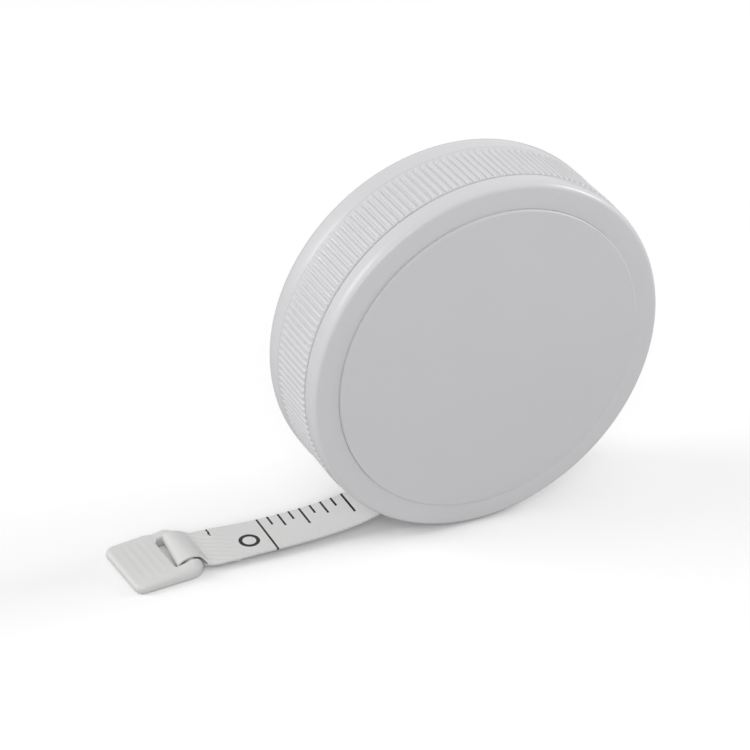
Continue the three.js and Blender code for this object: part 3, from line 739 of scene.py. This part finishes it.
def tapeEnd():
    keys = [(-27.775, 1.025, 0.13, 3.57, 0.0, 0.0), (-29.5, 1.03, 0.14, 3.57, -0.3, 0.02),
            (-31.5, 1.04, 0.17, 3.58, -0.6, 0.12), (-33.5, 1.06, 0.2, 3.6, -0.9, 0.28),
            (-35.5, 1.09, 0.24, 3.62, -1.2, 0.38), (-37.0, 1.1, 0.27, 3.6, -0.8, 0.4),
            (-37.85, 1.15, 0.34, 3.52, 0.4, 0.42), (-38.4, 1.38, 0.75, 3.32, 3.4, 0.24),
            (-39.0, 1.76, 1.04, 3.15, 4.7, 0.04), (-39.75, 2.05, 1.05, 3.15, 4.7, 0.0),
            (-40.5, 2.165, 1.0, 3.15, 4.7, 0.0), (-41.15, 2.03, 0.955, 3.15, 2.5, 0.0),
            (-41.6, 1.7, 0.93, 3.15, -1.5, 0.0), (-41.75, 1.25, 0.92, 3.15, -3.7, 0.0),
            (-41.58, 0.76, 0.93, 3.15, -3.7, 0.0), (-41.12, 0.38, 0.96, 3.15, -1.0, 0.0),
            (-40.5, 0.235, 1.0, 3.15, 3.0, 0.0), (-39.7, 0.26, 1.06, 3.15, 4.7, 0.0),
            (-38.9, 0.42, 1.0, 3.15, 4.0, 0.0), (-38.1, 0.69, 0.6, 3.2, 2.0, 0.1),
            (-37.2, 0.89, 0.35, 3.3, 0.0, 0.25), (-36.0, 0.9, 0.26, 3.35, -1.0, 0.34),
            (-34.6, 0.88, 0.23, 3.35, -1.0, 0.3), (-33.6, 0.86, 0.2, 3.5, -0.9, 0.26)]
    path = smoothPath(keys, strap["steps"])
    wide = strap["wide"]
    rows = []
    for i, (across, height, back, half, yaw, rise) in enumerate(path):
        turn = math.radians(yaw)
        row = []
        for j in range(wide + 1):
            side = 2 * j / wide - 1
            row.append(place(across - half * side * math.sin(turn),
                             tape["table"] + height + side * rise / 2,
                             tape["middle"] - back - half * side * math.cos(turn)))
        if i < strap["steps"] * strap["upperKeys"]:  # the weld's ridges, on the upper layer
            fade = min(1, max(0, (weld["inner"] - across) / weld["fades"][0]))
            fade *= min(1, max(0, (across - weld["outer"]) / weld["fades"][1] + 1))
            for j in range(wide + 1):
                side = 2 * j / wide - 1
                sway = sum(size * math.sin(across * pace + side * lean)
                           for size, pace, lean in weld["sways"])
                wave = math.sin(math.pi * weld["ridges"] * side + weld["slant"] * across + sway)
                edge = 1 - abs(side) ** 6
                row[j] = row[j] + Vector((0, 0, fade * edge * wave * weld["height"] * mm))
        rows.append(row)
    mesh = ribbonMesh(rows, tape["outer"], tape["inner"])
    return makeObject("tapeEnd", mesh, printedTape, strap["sharp"])


piece = tapeEnd()
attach(piece, "tape")
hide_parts("tape_end", "end_loop")
print("tape made")


# Pull tab

# The CAD's tab, with the soft worn edges of the real one. Seen square to it, u runs from the
# bar towards the tape and v to the back.
tab = {"bar": -40.5, "yaw": 4.7, "shift": 1.0, "reach": 8.8, "knuckle": 1.75, "half": 5.2,
       "outerCorner": 1.3, "innerCorner": 2.4, "tip": 1.25, "thick": 1.6, "crown": 2.1,
       "slot": 2.26, "slotNearer": 0.08, "slotHalf": 3.4, "slotCorner": (1.45, 2.75),
       "edge": 0.6, "knuckleEdge": 1.1, "underEdge": 0.45, "slotEdge": 0.12,
       "farLower": 0.24, "ridge": 0.5, "rise": 0.2, "softFrom": -3, "softOver": 2, "least": 0.6,
       "cutEnd": -1.2, "cutHeights": (-1, 4), "fillOver": (0.3, 0.1), "fillHeights": (0.1, 1.62),
       "coarse": 0.12, "fine": 0.09, "smoothing": 10}


def dropped(distance, radius):
    # how far a rounded edge lies below its surface, this far in from its outline
    rest = 1 - min(1, max(0, distance / radius))
    return radius * (1 - math.sqrt(1 - rest * rest))


def tabTop(u):
    flat = tab["slot"] + tab["rise"]
    if u < -flat:
        share = (u + tab["reach"]) / (tab["reach"] - flat)
        return tab["tip"] + (tab["thick"] - tab["tip"]) * share
    if u < 0:
        share = 1 + u / flat
        return tab["thick"] + (tab["crown"] - tab["thick"]) * share * share * (3 - 2 * share)
    return tab["crown"] / 2 * (1 + math.sqrt(max(0, 1 - (u / tab["knuckle"]) ** 2)))


def tabShaped(u, v, height):
    # the new height of a point of the plate
    wall = tab["slot"] + tab["slotNearer"] * min(1, max(0, 0.5 - v / 2 / tab["slotHalf"]))
    if u > -wall and abs(v) < tab["slotHalf"]:
        return height  # the bar
    middle = (tab["knuckle"] - tab["reach"]) / 2
    corner = tab["innerCorner"] if u > middle else tab["outerCorner"]
    p = abs(u - middle) - (tab["knuckle"] + tab["reach"]) / 2 + corner
    q = abs(v) - tab["half"] + corner
    inward = corner - math.hypot(max(p, 0), max(q, 0)) - min(max(p, q), 0)
    fromSlot = max(-wall - u, abs(v) - tab["slotHalf"])
    share = min(1, max(0, (u - tab["softFrom"]) / tab["softOver"]))
    radius = tab["edge"] + (tab["knuckleEdge"] - tab["edge"]) * share
    top = tabTop(u) - (tab["farLower"] * share if v > 0 else 0)
    radius = min(radius, top - tab["least"])
    if height > top:
        height = top + (height - top) * (tab["ridge"] if u < -wall else 0)
    if inward < radius or fromSlot < tab["slotEdge"]:
        height = min(height, top - dropped(inward, radius) - dropped(fromSlot, tab["slotEdge"]))
    return max(height, dropped(inward, tab["underEdge"]) + dropped(fromSlot, tab["slotEdge"] / 2))


def pullTab():
    mesh = nodes["end_tab"].data.copy()
    work = bmesh.new()
    work.from_mesh(mesh)
    bmesh.ops.scale(work, vec=(1000, 1000, 1000), verts=work.verts)  # in millimetres for a while
    bmesh.ops.remove_doubles(work, verts=work.verts, dist=0.001)
    work.to_mesh(mesh)
    work.free()
    piece = makeObject("pullTab", mesh, tabPolythene)
    turn = math.radians(tab["yaw"])
    along = Vector((math.cos(turn), math.sin(turn), 0))
    aside = Vector((-math.sin(turn), math.cos(turn), 0))
    bar = Vector((tab["bar"], tab["shift"] - tape["middle"], tape["table"]))
    faces = [(0, 1, 2, 3), (7, 6, 5, 4), (0, 4, 5, 1), (1, 5, 6, 2), (2, 6, 7, 3), (3, 7, 4, 0)]
    out, half, corner, over = tab["slot"], tab["slotHalf"], tab["slotCorner"], tab["fillOver"]
    slot = [(-out - tab["slotNearer"], -half), (tab["cutEnd"], -half), (tab["cutEnd"], half),
            (-out, half)]
    slant = [(-out - over[0], corner[1]), (-out + over[1], corner[1]),
             (-corner[0], half + over[0]), (-out - over[0], half + over[0])]
    for outline, heights, operation in ((slot, tab["cutHeights"], "DIFFERENCE"),
                                        (slant, tab["fillHeights"], "UNION")):
        cutWith(piece, meshFrom([bar + along * u + aside * v + Vector((0, 0, h))
                                 for h in heights for u, v in outline], faces), operation)
    remesh = piece.modifiers.new("remesh", "REMESH")
    remesh.mode, remesh.voxel_size = "VOXEL", tab["coarse"]
    applyModifiers(piece)
    for vertex in piece.data.vertices:
        reach = vertex.co - bar
        vertex.co.z = bar.z + tabShaped(reach.dot(along), reach.dot(aside), reach.z)
    remesh = piece.modifiers.new("remesh", "REMESH")
    remesh.mode, remesh.voxel_size = "VOXEL", tab["fine"]
    soften = piece.modifiers.new("soften", "SMOOTH")
    soften.iterations, soften.factor = tab["smoothing"], 0.5
    applyModifiers(piece)
    piece.data.transform(Matrix.Scale(mm, 4))
    piece.data.shade_smooth()
    return piece


piece = pullTab()
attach(piece, "tab")
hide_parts("end_tab")
print("tab made")
